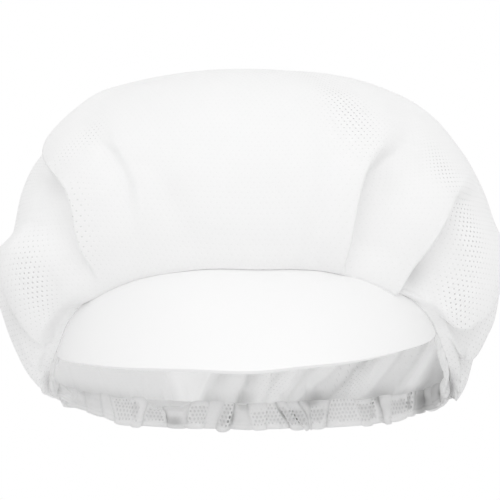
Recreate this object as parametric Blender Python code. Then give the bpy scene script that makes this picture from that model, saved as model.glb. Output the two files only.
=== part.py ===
# A mesh cap: a full gathered crown, a stiff peak and a ruffled elastic hem.
# Metres, +Z up, the front faces -Y. The origin lies on the head's axis, level with the forehead seam.

import math
from collections import namedtuple

import bmesh
import bpy
from mathutils import Vector

# The head opening, where crown, peak and hem meet in one seam
OPENING_HALF_WIDTH = 0.104
OPENING_FRONT = 0.088
OPENING_BACK = 0.074
SEAM_FALL = 0.077

# The crown, as worn and filled out
CROWN_HALF_WIDTH = 0.130
CROWN_FRONT = 0.100
CROWN_BACK = 0.136
CROWN_HEIGHT = 0.1020
CROWN_TOP_SHIFT = 0.012
CLOTH = 0.0015
FOLD_DEPTH = 0.012
FOLD_WIDTH = 0.020
PLEAT_DEPTH = 0.0030
PLEATS_AT_BACK = 14

# The peak, swept forward and down from the seam. Its slope and its ends are angles in degrees.
PEAK_LENGTH = 0.0676
PEAK_SLOPE = 40.5
PEAK_THICKNESS = 0.0022
PEAK_BULGE = 0.0030
PEAK_LEFT_END = -70.5
PEAK_RIGHT_END = 64.0
PEAK_END_TURN = 86.5

# The hem, a gathered casing over the elastic
HEM_HEIGHT = 0.0150
HEM_THICKNESS = 0.0022
RUFFLE_PITCH = 0.0070
RUFFLE_DEPTH = 0.0016

# The clearance that neighbouring pieces keep
GAP = 0.0003

# Mesh fineness, and the small steps in degrees and courses by which slopes are measured
PEAK_COLUMNS = 28
PEAK_ROWS = 6
RUFFLE_STEPS = 4
CROWN_ROWS = 16
COLUMN_GATHER = 0.5
GATHER_REACH = 80
SEAM_SAMPLES = 720
ANGLE_STEP = 0.5
COURSE_STEP = 0.05

# How far the seam has fallen at each angle from the front, as a share of SEAM_FALL
Fall = namedtuple("Fall", "angle share")
SEAM = (
    Fall(0, 0.00),
    Fall(15, 0.00),
    Fall(30, 0.05),
    Fall(45, 0.15),
    Fall(55, 0.26),
    Fall(62, 0.37),
    Fall(66, 0.46),
    Fall(70, 0.54),
    Fall(78, 0.66),
    Fall(90, 0.76),
    Fall(120, 0.88),
    Fall(150, 0.96),
    Fall(180, 1.00),
)

# How high the hem stands at each angle, as a share of HEM_HEIGHT: it rolls in under the sides
HEM = (
    Fall(60, 0.32),
    Fall(92, 0.70),
    Fall(117, 0.75),
    Fall(138, 1.00),
    Fall(180, 1.00),
    Fall(224, 1.00),
    Fall(236, 0.58),
    Fall(256, 0.58),
    Fall(292, 0.32),
)

# How far the peak's edge reaches against a plain half ellipse, at each turn from its middle, in degrees
# from -90 at its left end to 90 at its right end
Fullness = namedtuple("Fullness", "turn share")
PEAK_FULLNESS = (
    Fullness(-90, 0.30),
    Fullness(-72, 0.54),
    Fullness(-61, 0.77),
    Fullness(-44, 0.94),
    Fullness(-20, 1.03),
    Fullness(20, 1.02),
    Fullness(40, 0.92),
    Fullness(65, 0.70),
    Fullness(90, 0.35),
)

# Courses of the crown from the seam to the top. Swell is the share of the way from the opening to the
# full width, close the share by which the crown has closed in again, and each rise the share of the
# height from the seam to the top, at the front, the sides and the back.
Course = namedtuple("Course", "swell close rise_front rise_side rise_back")
COURSES = (
    Course(0.00, 0.00, 0.000, 0.000, 0.000),
    Course(0.15, 0.00, 0.030, -0.045, -0.030),
    Course(0.46, 0.00, 0.090, 0.025, 0.050),
    Course(0.78, 0.00, 0.200, 0.140, 0.150),
    Course(0.96, 0.00, 0.330, 0.270, 0.280),
    Course(1.00, 0.00, 0.450, 0.380, 0.400),
    Course(1.00, 0.02, 0.560, 0.480, 0.510),
    Course(1.00, 0.06, 0.660, 0.590, 0.620),
    Course(1.00, 0.14, 0.770, 0.715, 0.740),
    Course(1.00, 0.26, 0.870, 0.835, 0.850),
    Course(1.00, 0.45, 0.950, 0.930, 0.930),
    Course(1.00, 0.69, 0.990, 0.985, 0.980),
    Course(1.00, 1.00, 1.000, 1.000, 1.000),
)

# The folds, each with its path as the angle from the front at five heights, +X positive. Ridge and
# recess are shares of FOLD_DEPTH, and their widths shares of FOLD_WIDTH. The ridge lies on the side
# nearer the front, or on the far side where outward is -1. Start and end are courses.
Fold = namedtuple(
    "Fold",
    "name seam low middle high top ridge recess ridge_width recess_width outward start end",
)
FOLDS = (
    Fold("left_lobe", -66, -70, -80, -98, -130, 0.20, 0.40, 0.8, 0.8, 1, 0.8, 6.0),
    Fold("left_shoulder", -44, -45, -67, -88, -110, 0.35, 0.50, 0.9, 1.5, -1, 2.0, 7.4),
    Fold("left_panel", -41, -41, -42.5, -59, -85, 0.20, 0.80, 1.0, 1.2, 1, 0.8, 9.0),
    Fold("left_soft", -23, -23, -26, -37, -55, 0.08, 0.12, 0.7, 0.4, 1, 3.0, 8.0),
    Fold("left_crease", -12, -12, -17, -26, -40, 0.06, 0.08, 0.7, 0.5, 1, 2.5, 7.0),
    Fold("right_pleat", 16, 13, 14, 18, 30, 0.08, 0.16, 0.6, 0.4, 1, 0.4, 9.0),
    Fold("right_panel", 27, 23.5, 26.5, 37, 60, 0.25, 0.70, 0.9, 0.9, 1, 0.8, 9.0),
    Fold("right_billow", 42, 43, 52.5, 73, 95, 0.40, 1.00, 0.9, 0.9, 1, 0.6, 8.0),
    Fold("right_lobe", 56, 69, 84, 95, 115, 0.30, 0.55, 0.8, 0.6, 1, 0.8, 6.5),
    Fold("right_under_lobe", 64, 82, 100, 110, 130, 0.20, 0.40, 0.7, 0.6, 1, 0.8, 5.0),
)
PATH_COURSES = (0.0, 2.5, 5.0, 7.5, 12.0)

# Where a fold turns over from its ridge to its recess, as shares of FOLD_WIDTH from its path, and the
# courses over which it grows in and dies out
TURN_STARTS = -0.16
TURN_ENDS = 0.14
GROWS_BEFORE = 0.8
GROWS_AFTER = 1.6
DIES_BEFORE = 2.0

# The pleats round the back: how far they reach to each side of the nape, in degrees, and the courses
# between which they fade in from the hem and out again
PLEAT_REACH = 115
PLEAT_FULL_REACH = 98
PLEAT_FULL = 1.6
PLEAT_FADES = 2.2
PLEAT_GONE = 6.0

# Where the gathered cloth sags over the hem, by its angle, its width in degrees and its depth as a
# share of FOLD_DEPTH
Sag = namedtuple("Sag", "name angle width depth")
SAG_COURSE = 1.0
SAG_GONE = 3.6
SAGS = (
    Sag("right_corner", 86, 12, 0.50),
    Sag("nape_left", 214, 15, 0.25),
    Sag("nape_right", 150, 18, 0.30),
)

# Guides without a fold that carry the columns round the sides and the back
Guide = namedtuple("Guide", "name seam low middle high top")
GUIDES = (
    Guide("back_left", -180, -180, -180, -180, -180),
    Guide("nape_left", -135, -137, -142, -146, -158),
    Guide("side_left", -92, -98, -108, -120, -144),
    Guide("front", 0, 0, 0, 0, 0),
    Guide("side_right", 92, 98, 113, 124, 144),
    Guide("nape_right", 135, 137, 144, 149, 158),
    Guide("back_right", 180, 180, 180, 180, 180),
)

# The hem's section, point by point: how far down it lies, on which face, and its share of the ruffle
HemPoint = namedtuple("HemPoint", "level face ruffle")
HEM_SECTION = (
    HemPoint(0.00, 1, 0.0),
    HemPoint(0.45, 1, 0.4),
    HemPoint(1.00, 1, 1.0),
    HemPoint(1.00, -1, 1.0),
    HemPoint(0.45, -1, 0.4),
    HemPoint(0.00, -1, 0.0),
)
RUFFLE_DROP = 0.3

# Columns of the mesh in each stretch between two guides or folds, from the back round by the left side
COLUMNS = (11, 11, 7, 8, 5, 7, 4, 4, 5, 5, 8, 8, 5, 7, 11, 11)


def smooth_between(stations, values, at):
    """The value at a station on the smooth curve through all the values."""
    at = min(max(at, stations[0]), stations[-1])
    last = len(stations) - 2
    index = min(last, max(i for i in range(len(stations)) if stations[i] <= at))
    slopes = []
    for i in range(len(stations)):
        before = max(i - 1, 0)
        after = min(i + 1, len(stations) - 1)
        slopes.append((values[after] - values[before]) / (stations[after] - stations[before]))
    span = stations[index + 1] - stations[index]
    u = (at - stations[index]) / span
    return (
        (2 * u**3 - 3 * u**2 + 1) * values[index]
        + (u**3 - 2 * u**2 + u) * span * slopes[index]
        + (3 * u**2 - 2 * u**3) * values[index + 1]
        + (u**3 - u**2) * span * slopes[index + 1]
    )


def ease(low, high, value):
    """0 below low, 1 above high, and smooth between them."""
    share = min(max((value - low) / (high - low), 0.0), 1.0)
    return share * share * (3 - 2 * share)


def seam_point(angle):
    """A point of the seam round the head opening, at an angle in degrees from the front."""
    turn = math.radians(angle)
    from_front = abs((angle + 180) % 360 - 180)
    fall = smooth_between([row.angle for row in SEAM], [row.share for row in SEAM], from_front)
    depth = OPENING_FRONT if math.cos(turn) > 0 else OPENING_BACK
    return Vector(
        (OPENING_HALF_WIDTH * math.sin(turn), -depth * math.cos(turn), -SEAM_FALL * fall)
    )


def seam_direction(angle):
    return (seam_point(angle + ANGLE_STEP) - seam_point(angle - ANGLE_STEP)).normalized()


def seam_frame(angle):
    """The seam's point, its way out of the cap and its way up into the crown."""
    along = seam_direction(angle)
    turn = math.radians(angle)
    level = Vector((math.sin(turn), -math.cos(turn), 0))
    up = level.cross(along).normalized()
    return seam_point(angle), along.cross(up), up


def course_values(course):
    """The row of COURSES at any height between its rows."""
    stations = list(range(len(COURSES)))
    return Course(*(smooth_between(stations, column, course) for column in zip(*COURSES)))


def base_point(angle, course):
    """The crown without its folds."""
    turn = math.radians(angle)
    ahead = max(math.cos(turn), 0.0) ** 2
    behind = max(-math.cos(turn), 0.0) ** 2
    row = course_values(course)
    rise = row.rise_front * ahead + row.rise_back * behind + row.rise_side * (1 - ahead - behind)
    opening = OPENING_FRONT if ahead > 0 else OPENING_BACK
    full = CROWN_FRONT if ahead > 0 else CROWN_BACK
    across = (OPENING_HALF_WIDTH + row.swell * (CROWN_HALF_WIDTH - OPENING_HALF_WIDTH)) * (1 - row.close)
    along = (opening + row.swell * (full - opening)) * (1 - row.close)
    foot = seam_point(angle).z
    return Vector(
        (
            across * math.sin(turn),
            -along * math.cos(turn) + CROWN_TOP_SHIFT * row.close,
            foot + rise * (CROWN_HEIGHT - foot),
        )
    )


def base_normal(angle, course):
    """The way out of the unfolded crown."""
    low = max(course - COURSE_STEP, 0.0)
    round_it = base_point(angle + ANGLE_STEP, course) - base_point(angle - ANGLE_STEP, course)
    up_it = base_point(angle, course + COURSE_STEP) - base_point(angle, low)
    return round_it.cross(up_it).normalized()


def path_angle(path, course):
    """The angle at which a fold or a guide runs at this course."""
    values = (path.seam, path.low, path.middle, path.high, path.top)
    return smooth_between(PATH_COURSES, values, course)


def fold_relief(fold, angle, course):
    """How far one fold pushes the cloth out at a point, in metres."""
    grown = ease(fold.start - GROWS_BEFORE, fold.start + GROWS_AFTER, course)
    span = grown * (1 - ease(fold.end - DIES_BEFORE, fold.end, course))
    reach = math.hypot(*base_point(angle, course).xy)
    away = math.radians(angle - path_angle(fold, course)) * reach
    if fold.seam < 0:
        away = -away
    away *= fold.outward
    over = ease(TURN_STARTS * FOLD_WIDTH, TURN_ENDS * FOLD_WIDTH, away)
    ridge = math.exp(-((away / (fold.ridge_width * FOLD_WIDTH)) ** 2))
    recess = math.exp(-((away / (fold.recess_width * FOLD_WIDTH)) ** 2))
    return FOLD_DEPTH * span * (fold.ridge * ridge * (1 - over) - fold.recess * recess * over)


def pleat_relief(column, course):
    """The soft pleats that rise from the hem round the back, by the angle at which they leave it."""
    from_nape = column % 360 - 180
    wave = math.cos(math.pi * from_nape * PLEATS_AT_BACK / PLEAT_REACH)
    height = ease(0.0, PLEAT_FULL, course) * (1 - ease(PLEAT_FADES, PLEAT_GONE, course))
    return PLEAT_DEPTH * wave * height * (1 - ease(PLEAT_FULL_REACH, PLEAT_REACH, abs(from_nape)))


def sag_drop(angle, course):
    """How far the cloth hangs lower where it sags over the hem."""
    near_foot = ease(0.0, SAG_COURSE, course) * (1 - ease(SAG_COURSE, SAG_GONE, course))
    drop = 0.0
    for sag in SAGS:
        away = (angle - sag.angle + 180) % 360 - 180
        drop += sag.depth * FOLD_DEPTH * math.exp(-((away / sag.width) ** 2))
    return Vector((0, 0, -drop * near_foot))


def crown_point(column, angle, course):
    relief = sum(fold_relief(fold, angle, course) for fold in FOLDS) + pleat_relief(column, course)
    point = base_point(angle, course) + sag_drop(angle, course)
    return point + base_normal(angle, course) * relief


def crown_columns():
    """For each column of the mesh, the two paths that it runs between and its share of the way.

    Columns draw together near the folds within GATHER_REACH of the front, to keep their edges crisp.
    """
    paths = sorted(list(FOLDS) + list(GUIDES), key=lambda path: path.seam)
    columns = []
    for index, count in enumerate(COLUMNS):
        middle = (paths[index].seam + paths[index + 1].seam) / 2
        gather = COLUMN_GATHER if abs(middle) < GATHER_REACH else 0.0
        for step in range(count):
            share = step / count
            share -= gather * math.sin(2 * math.pi * share) / (2 * math.pi)
            columns.append((paths[index], paths[index + 1], share))
    return columns


def new_object(name, bm, colour, roughness):
    """An object of this mesh with its own material."""
    mesh = bpy.data.meshes.new(name)
    bm.to_mesh(mesh)
    bm.free()
    mesh.shade_smooth()
    piece = bpy.data.objects.new(name, mesh)
    bpy.context.scene.collection.objects.link(piece)
    material = bpy.data.materials.new(name)
    material.use_nodes = True
    shader = material.node_tree.nodes["Principled BSDF"]
    shader.inputs["Base Color"].default_value = (*colour, 1.0)
    shader.inputs["Roughness"].default_value = roughness
    shader.inputs["Metallic"].default_value = 0.0
    mesh.materials.append(material)
    return piece


def make_crown():
    """The bag of cloth: courses of points from the seam to the top, then the wall's thickness."""
    bm = bmesh.new()
    columns = crown_columns()
    last = len(COURSES) - 1
    rows = []
    for row in range(CROWN_ROWS):
        course = last * row / CROWN_ROWS
        ring = []
        for before, after, share in columns:
            low = path_angle(before, course)
            angle = low + share * (path_angle(after, course) - low)
            column = before.seam + share * (after.seam - before.seam)
            point = crown_point(column, angle, course)
            if row == 0:
                point += seam_frame(angle)[2] * GAP
            ring.append(bm.verts.new(point))
        rows.append(ring)
    for lower, upper in zip(rows, rows[1:]):
        for i in range(len(columns)):
            j = (i + 1) % len(columns)
            bm.faces.new((lower[i], lower[j], upper[j], upper[i]))
    top = bm.verts.new(base_point(0, last))
    for i in range(len(columns)):
        bm.faces.new((rows[-1][i], rows[-1][(i + 1) % len(columns)], top))
    crown = new_object("crown", bm, (0.90, 0.90, 0.90), 0.85)
    wall = crown.modifiers.new("wall", "SOLIDIFY")
    wall.thickness = CLOTH
    wall.offset = -1
    return crown


def peak_angle(share):
    """The seam's angle at a share from -1, the left end of the peak, to 1, the right end."""
    middle = (PEAK_RIGHT_END + PEAK_LEFT_END) / 2
    return middle + share * (PEAK_RIGHT_END - PEAK_LEFT_END) / 2


def make_peak():
    """A crescent swept from the seam, longest at the middle and rounded off at both ends."""
    bm = bmesh.new()
    slope = math.radians(PEAK_SLOPE)
    sweep = Vector((0, -math.cos(slope), -math.sin(slope)))
    blunt = math.radians(PEAK_END_TURN)
    turns = [row.turn for row in PEAK_FULLNESS]
    shares = [row.share for row in PEAK_FULLNESS]
    rows = [[] for _ in range(PEAK_ROWS + 1)]
    for column in range(PEAK_COLUMNS + 1):
        turn = -blunt + 2 * blunt * column / PEAK_COLUMNS
        angle = peak_angle(math.sin(turn))
        root, out, up = seam_frame(angle)
        root -= up * GAP + out * 2 * GAP
        length = PEAK_LENGTH * math.cos(turn) * smooth_between(turns, shares, math.degrees(turn))
        bulge = PEAK_BULGE * math.cos(turn) ** 2
        face = sweep.cross(seam_direction(angle)).normalized()
        for row in range(PEAK_ROWS + 1):
            share = row / PEAK_ROWS
            point = root + sweep * length * share + face * bulge * 4 * share * (1 - share)
            rows[row].append(bm.verts.new(point))
    for upper, lower in zip(rows, rows[1:]):
        for i in range(PEAK_COLUMNS):
            bm.faces.new((upper[i], lower[i], lower[i + 1], upper[i + 1]))
    peak = new_object("peak", bm, (0.93, 0.93, 0.93), 0.55)
    plate = peak.modifiers.new("plate", "SOLIDIFY")
    plate.thickness = PEAK_THICKNESS
    plate.offset = -1
    return peak


def hem_angles():
    """Angles that split the seam into equal steps, from the right end of the peak round to the left."""
    clear = math.degrees(2 * GAP / OPENING_HALF_WIDTH)
    first = PEAK_RIGHT_END + clear
    stretch = PEAK_LEFT_END + 360 - clear - first
    angles = [first + stretch * i / SEAM_SAMPLES for i in range(SEAM_SAMPLES + 1)]
    lengths = [0.0]
    for low, high in zip(angles, angles[1:]):
        lengths.append(lengths[-1] + (seam_point(high) - seam_point(low)).length)
    count = round(lengths[-1] / RUFFLE_PITCH) * RUFFLE_STEPS
    found = []
    index = 0
    for step in range(count + 1):
        wanted = lengths[-1] * step / count
        while index < SEAM_SAMPLES - 1 and lengths[index + 1] < wanted:
            index += 1
        share = (wanted - lengths[index]) / (lengths[index + 1] - lengths[index])
        found.append(angles[index] + share * (angles[index + 1] - angles[index]))
    return found


def make_hem():
    """The casing: its section of six points, carried along the seam and ruffled."""
    bm = bmesh.new()
    stations = [row.angle for row in HEM]
    heights = [row.share for row in HEM]
    sections = []
    for step, angle in enumerate(hem_angles()):
        root, out, up = seam_frame(angle)
        height = HEM_HEIGHT * smooth_between(stations, heights, angle)
        wave = math.cos(2 * math.pi * step / RUFFLE_STEPS)
        section = []
        for row in HEM_SECTION:
            down = GAP + row.level * (height + RUFFLE_DROP * RUFFLE_DEPTH * wave * row.ruffle)
            inset = GAP + (1 - row.face) * HEM_THICKNESS / 2 + RUFFLE_DEPTH * row.ruffle * (1 - wave)
            section.append(bm.verts.new(root - up * down - out * inset))
        sections.append(section)
    for before, after in zip(sections, sections[1:]):
        for i in range(len(before)):
            j = (i + 1) % len(before)
            bm.faces.new((before[i], before[j], after[j], after[i]))
    bm.faces.new(sections[0][::-1])
    bm.faces.new(sections[-1])
    bmesh.ops.recalc_face_normals(bm, faces=bm.faces)
    return new_object("elastic_hem", bm, (0.88, 0.88, 0.88), 0.85)


for left_over in list(bpy.data.objects):
    bpy.data.objects.remove(left_over, do_unlink=True)

make_crown()
make_peak()
make_hem()
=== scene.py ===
import math

import bpy
import numpy as np
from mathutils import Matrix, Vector


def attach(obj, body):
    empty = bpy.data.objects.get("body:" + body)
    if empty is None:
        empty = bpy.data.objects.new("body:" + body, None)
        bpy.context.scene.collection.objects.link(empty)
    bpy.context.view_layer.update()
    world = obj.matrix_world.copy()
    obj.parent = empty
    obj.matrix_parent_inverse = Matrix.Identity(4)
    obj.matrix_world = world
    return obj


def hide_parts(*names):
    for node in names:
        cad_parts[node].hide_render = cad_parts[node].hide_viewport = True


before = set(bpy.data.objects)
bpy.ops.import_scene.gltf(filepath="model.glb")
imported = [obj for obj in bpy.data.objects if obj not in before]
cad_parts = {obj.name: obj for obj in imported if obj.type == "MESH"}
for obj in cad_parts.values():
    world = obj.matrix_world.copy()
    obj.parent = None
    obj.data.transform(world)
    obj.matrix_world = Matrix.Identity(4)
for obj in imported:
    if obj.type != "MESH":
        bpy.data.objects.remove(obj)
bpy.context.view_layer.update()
print("frame loaded:", len(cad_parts), "nodes")


def smooth(stations, values, at):
    # the smooth curve through all the values, read at any stations
    stations = np.asarray(stations, float)
    values = np.asarray(values, float)
    at = np.clip(at, stations[0], stations[-1])
    count = len(stations)
    before = np.maximum(np.arange(count) - 1, 0)
    after = np.minimum(np.arange(count) + 1, count - 1)
    slopes = (values[after] - values[before]) / (stations[after] - stations[before])
    i = np.clip(np.searchsorted(stations, at, side="right") - 1, 0, count - 2)
    span = stations[i + 1] - stations[i]
    u = (at - stations[i]) / span
    low = (2 * u**3 - 3 * u**2 + 1) * values[i] + (u**3 - 2 * u**2 + u) * span * slopes[i]
    high = (3 * u**2 - 2 * u**3) * values[i + 1] + (u**3 - u**2) * span * slopes[i + 1]
    return low + high


def ease(low, high, value):
    share = np.clip((value - low) / (high - low), 0.0, 1.0)
    return share * share * (3 - 2 * share)


def hump(away, width):
    return np.exp(-(away / width) ** 2)


def unit(vectors):
    return vectors / np.maximum(np.linalg.norm(vectors, axis=-1, keepdims=True), 1e-12)


def stacked(x, y, z):
    return np.stack(np.broadcast_arrays(x, y, z), axis=-1)


def turned(angle):
    # the same angle between -180 and 180
    return (angle + 180) % 360 - 180


def ripple(points, size, seed, waves=7):
    # soft irregular waves in space, about size long, from -1 to 1
    chance = np.random.default_rng(seed)
    total = np.zeros(points.shape[:-1])
    for _ in range(waves):
        way = unit(chance.normal(size=3)) * 2 * math.pi / (size * chance.uniform(0.7, 1.5))
        total += np.cos(points @ way + chance.uniform(0, 2 * math.pi))
    return total / waves


# The shape that crown, peak and hem share: the head opening and the crown around it
opening = {
    "halfWidth": 0.104,
    "front": 0.088,
    "back": 0.074,
    "fall": 0.077,
    # angle from the front, share of the fall
    "seam": [(0, 0), (15, 0), (30, 0.05), (45, 0.15), (55, 0.26), (62, 0.37), (66, 0.46), (70, 0.54),
             (78, 0.66), (90, 0.76), (120, 0.88), (150, 0.96), (180, 1)],
}

bag = {
    "halfWidth": 0.130,
    "front": 0.100,
    "back": 0.136,
    "height": 0.1020,
    "topShift": 0.012,
    # swell, close, and how far up at the front, the sides and the back
    "courses": [
        (0.00, 0.00, 0.000, 0.000, 0.000),
        (0.15, 0.00, 0.030, -0.045, -0.030),
        (0.46, 0.00, 0.090, 0.025, 0.050),
        (0.78, 0.00, 0.200, 0.140, 0.150),
        (0.96, 0.00, 0.330, 0.270, 0.280),
        (1.00, 0.00, 0.450, 0.380, 0.400),
        (1.00, 0.02, 0.560, 0.480, 0.510),
        (1.00, 0.06, 0.660, 0.590, 0.620),
        (1.00, 0.14, 0.770, 0.715, 0.740),
        (1.00, 0.26, 0.870, 0.835, 0.850),
        (1.00, 0.45, 0.950, 0.930, 0.930),
        (1.00, 0.69, 0.990, 0.985, 0.980),
        (1.00, 1.00, 1.000, 1.000, 1.000),
    ],
}


def seamPoint(angle):
    turn = np.radians(angle)
    fall = smooth(*zip(*opening["seam"]), np.abs(turned(np.asarray(angle, float))))
    depth = np.where(np.cos(turn) > 0, opening["front"], opening["back"])
    return stacked(opening["halfWidth"] * np.sin(turn), -depth * np.cos(turn), -opening["fall"] * fall)


def seamFrame(angle):
    # the seam's point, the way along it, out of the cap and up into the crown
    along = unit(seamPoint(angle + 0.5) - seamPoint(angle - 0.5))
    turn = np.radians(angle)
    level = stacked(np.sin(turn), -np.cos(turn), 0.0 * turn)
    up = unit(np.cross(level, along))
    return seamPoint(angle), along, np.cross(along, up), up


def bagPoint(angle, course):
    turn = np.radians(angle)
    ahead = np.maximum(np.cos(turn), 0) ** 2
    behind = np.maximum(-np.cos(turn), 0) ** 2
    swell, close, front, side, back = [smooth(range(len(bag["courses"])), column, course)
                                       for column in zip(*bag["courses"])]
    rise = front * ahead + back * behind + side * (1 - ahead - behind)
    isFront = np.cos(turn) > 0
    start = np.where(isFront, opening["front"], opening["back"])
    full = np.where(isFront, bag["front"], bag["back"])
    across = (opening["halfWidth"] + swell * (bag["halfWidth"] - opening["halfWidth"])) * (1 - close)
    along = (start + swell * (full - start)) * (1 - close)
    foot = seamPoint(angle)[..., 2]
    return stacked(across * np.sin(turn), -along * np.cos(turn) + bag["topShift"] * close,
                   foot + rise * (bag["height"] - foot))


def bagNormal(angle, course):
    roundIt = bagPoint(angle + 0.5, course) - bagPoint(angle - 0.5, course)
    upIt = bagPoint(angle, np.minimum(course + 0.05, 12)) - bagPoint(angle, np.maximum(course - 0.05, 0))
    return unit(np.cross(roundIt, upIt))


def pieceFrom(name, points, faces, node, material):
    mesh = bpy.data.meshes.new(name)
    mesh.from_pydata(points.tolist(), [], faces)
    mesh.shade_smooth()
    piece = bpy.data.objects.new(name, mesh)
    bpy.context.scene.collection.objects.link(piece)
    mesh.materials.append(material)
    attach(piece, "root")
    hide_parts(node)
    return piece


def giveMap(piece, places):
    # the cloth's own map, one place in metres for each face corner
    chart = piece.data.uv_layers.new(name="cloth")
    chart.data.foreach_set("uv", places.ravel())


def giveValues(piece, name, values):
    # a value for each point: "opened" is how far the knit is drawn open there, which also sets how much
    # painted shadow its holes show, and the layers value is how much painted shade darkens the cloth's
    # colour there, counted as layers of cloth past one; below 0, where it is stretched thin, it only lets
    # more light through
    layer = piece.data.attributes.new(name, "FLOAT", "POINT")
    layer.data.foreach_set("value", values.ravel())


def cornerPoints(piece):
    corners = np.empty(len(piece.data.loops), int)
    piece.data.loops.foreach_get("vertex_index", corners)
    return corners


clothLook = {
    "pitch": (0.0029, 0.0025),     # between the holes along a row, and from row to row
    "hole": 0.00050,               # radius where the knit is drawn open
    "clear": 0.45,                 # share of the light that an open hole lets through
    "colour": (0.955, 0.955, 0.955),
    # the holes' painted shadow colour, standing in for the shaded cloth seen through them
    "holeShadow": (0.50, 0.50, 0.50),
    "glow": 0.34,                  # share of the light that passes through one layer of cloth
    "glowLost": 0.30,              # and how much of it each more layer takes away
    "shade": 0.14,                 # how much painted shade each layer past one puts into the cloth's colour
    "shadeOutside": 1.5,           # and how many layers of that painted shade its outside takes; its inside takes them all
    "roughness": 0.85,
    "knitDepth": 0.00035,
}


def newGroup(name, inputs, outputs):
    group = bpy.data.node_groups.new(name, "ShaderNodeTree")
    for label, kind, value in inputs:
        socket = group.interface.new_socket(label, in_out="INPUT", socket_type=kind)
        if value is not None:
            socket.default_value = value
    for label in outputs:
        group.interface.new_socket(label, in_out="OUTPUT", socket_type="NodeSocketFloat")
    return group, group.nodes.new("NodeGroupInput").outputs, group.nodes.new("NodeGroupOutput").inputs


def mathsIn(tree):
    # a short way to chain Math nodes in one tree
    def maths(operation, *inputs):
        node = tree.nodes.new("ShaderNodeMath")
        node.operation = operation
        for socket, value in zip(node.inputs, inputs):
            if isinstance(value, (int, float)):
                socket.default_value = value
            else:
                tree.links.new(value, socket)
        return node.outputs[0]
    return maths


def knitGroup():
    # staggered rows of round holes between rounded threads, from a map in metres
    group, given, result = newGroup(
        "knittedHoles",
        [("Map", "NodeSocketVector", None), ("Pitch", "NodeSocketFloat", 0.003),
         ("Row Pitch", "NodeSocketFloat", 0.0025), ("Hole", "NodeSocketFloat", 0.0005),
         ("Opened", "NodeSocketFloat", 1.0)],
        ["Thread", "Height"])
    maths = mathsIn(group)
    parts = group.nodes.new("ShaderNodeSeparateXYZ")
    group.links.new(given["Map"], parts.inputs[0])
    rowAt = maths("DIVIDE", parts.outputs["Y"], given["Row Pitch"])
    odd = maths("FLOORED_MODULO", maths("FLOOR", rowAt), 2.0)
    shift = maths("MULTIPLY", odd, 0.5)
    columnAt = maths("ADD", maths("DIVIDE", parts.outputs["X"], given["Pitch"]), shift)
    across = maths("MULTIPLY", maths("SUBTRACT", maths("FRACT", columnAt), 0.5), given["Pitch"])
    along = maths("MULTIPLY", maths("SUBTRACT", maths("FRACT", rowAt), 0.5), given["Row Pitch"])
    away = maths("SQRT", maths("ADD", maths("MULTIPLY", across, across), maths("MULTIPLY", along, along)))
    radius = maths("MULTIPLY", given["Hole"], maths("MULTIPLY_ADD", given["Opened"], 0.45, 0.55))
    outside = maths("DIVIDE", maths("SUBTRACT", away, radius), maths("MULTIPLY", given["Hole"], 0.5))
    thread = maths("MINIMUM", maths("MAXIMUM", maths("ADD", outside, 0.5), 0.0), 1.0)
    rounded = maths("SQRT", maths("MINIMUM", maths("MAXIMUM", maths("MULTIPLY", outside, 0.35), 0.0), 1.0))
    group.links.new(thread, result["Thread"])
    group.links.new(rounded, result["Height"])
    return group


def toneGroup():
    # a slow cloudy tone just under 1, and a fine grain from 0 to 1
    group, given, result = newGroup(
        "softTone",
        [("Place", "NodeSocketVector", None), ("Cloud Size", "NodeSocketFloat", 0.03),
         ("Cloud", "NodeSocketFloat", 0.02), ("Grain Size", "NodeSocketFloat", 0.0008)],
        ["Tone", "Grain"])
    maths = mathsIn(group)
    clouds = []
    for size, detail in ((given["Cloud Size"], 3), (given["Grain Size"], 2)):
        noise = group.nodes.new("ShaderNodeTexNoise")
        noise.inputs["Detail"].default_value = detail
        group.links.new(given["Place"], noise.inputs["Vector"])
        group.links.new(maths("DIVIDE", 1.0, size), noise.inputs["Scale"])
        clouds.append(noise.outputs["Fac"])
    group.links.new(maths("SUBTRACT", 1.0, maths("MULTIPLY", clouds[0], given["Cloud"])), result["Tone"])
    group.links.new(clouds[1], result["Grain"])
    return group


knittedHoles = knitGroup()
softTone = toneGroup()


def toneNode(tree, cloudSize, cloud, grainSize):
    place = tree.nodes.new("ShaderNodeTexCoord")
    tone = tree.nodes.new("ShaderNodeGroup")
    tone.node_tree = softTone
    tree.links.new(place.outputs["Object"], tone.inputs["Place"])
    tone.inputs["Cloud Size"].default_value = cloudSize
    tone.inputs["Cloud"].default_value = cloud
    tone.inputs["Grain Size"].default_value = grainSize
    return tone


def tinted(tree, colour, tone):
    # a plain colour times a tone
    tint = tree.nodes.new("ShaderNodeMix")
    tint.data_type = "RGBA"
    tint.blend_type = "MULTIPLY"
    tint.inputs["Factor"].default_value = 1.0
    tint.inputs["A"].default_value = (*colour, 1)
    tree.links.new(tone, tint.inputs["B"])
    return tint.outputs["Result"]


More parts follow.
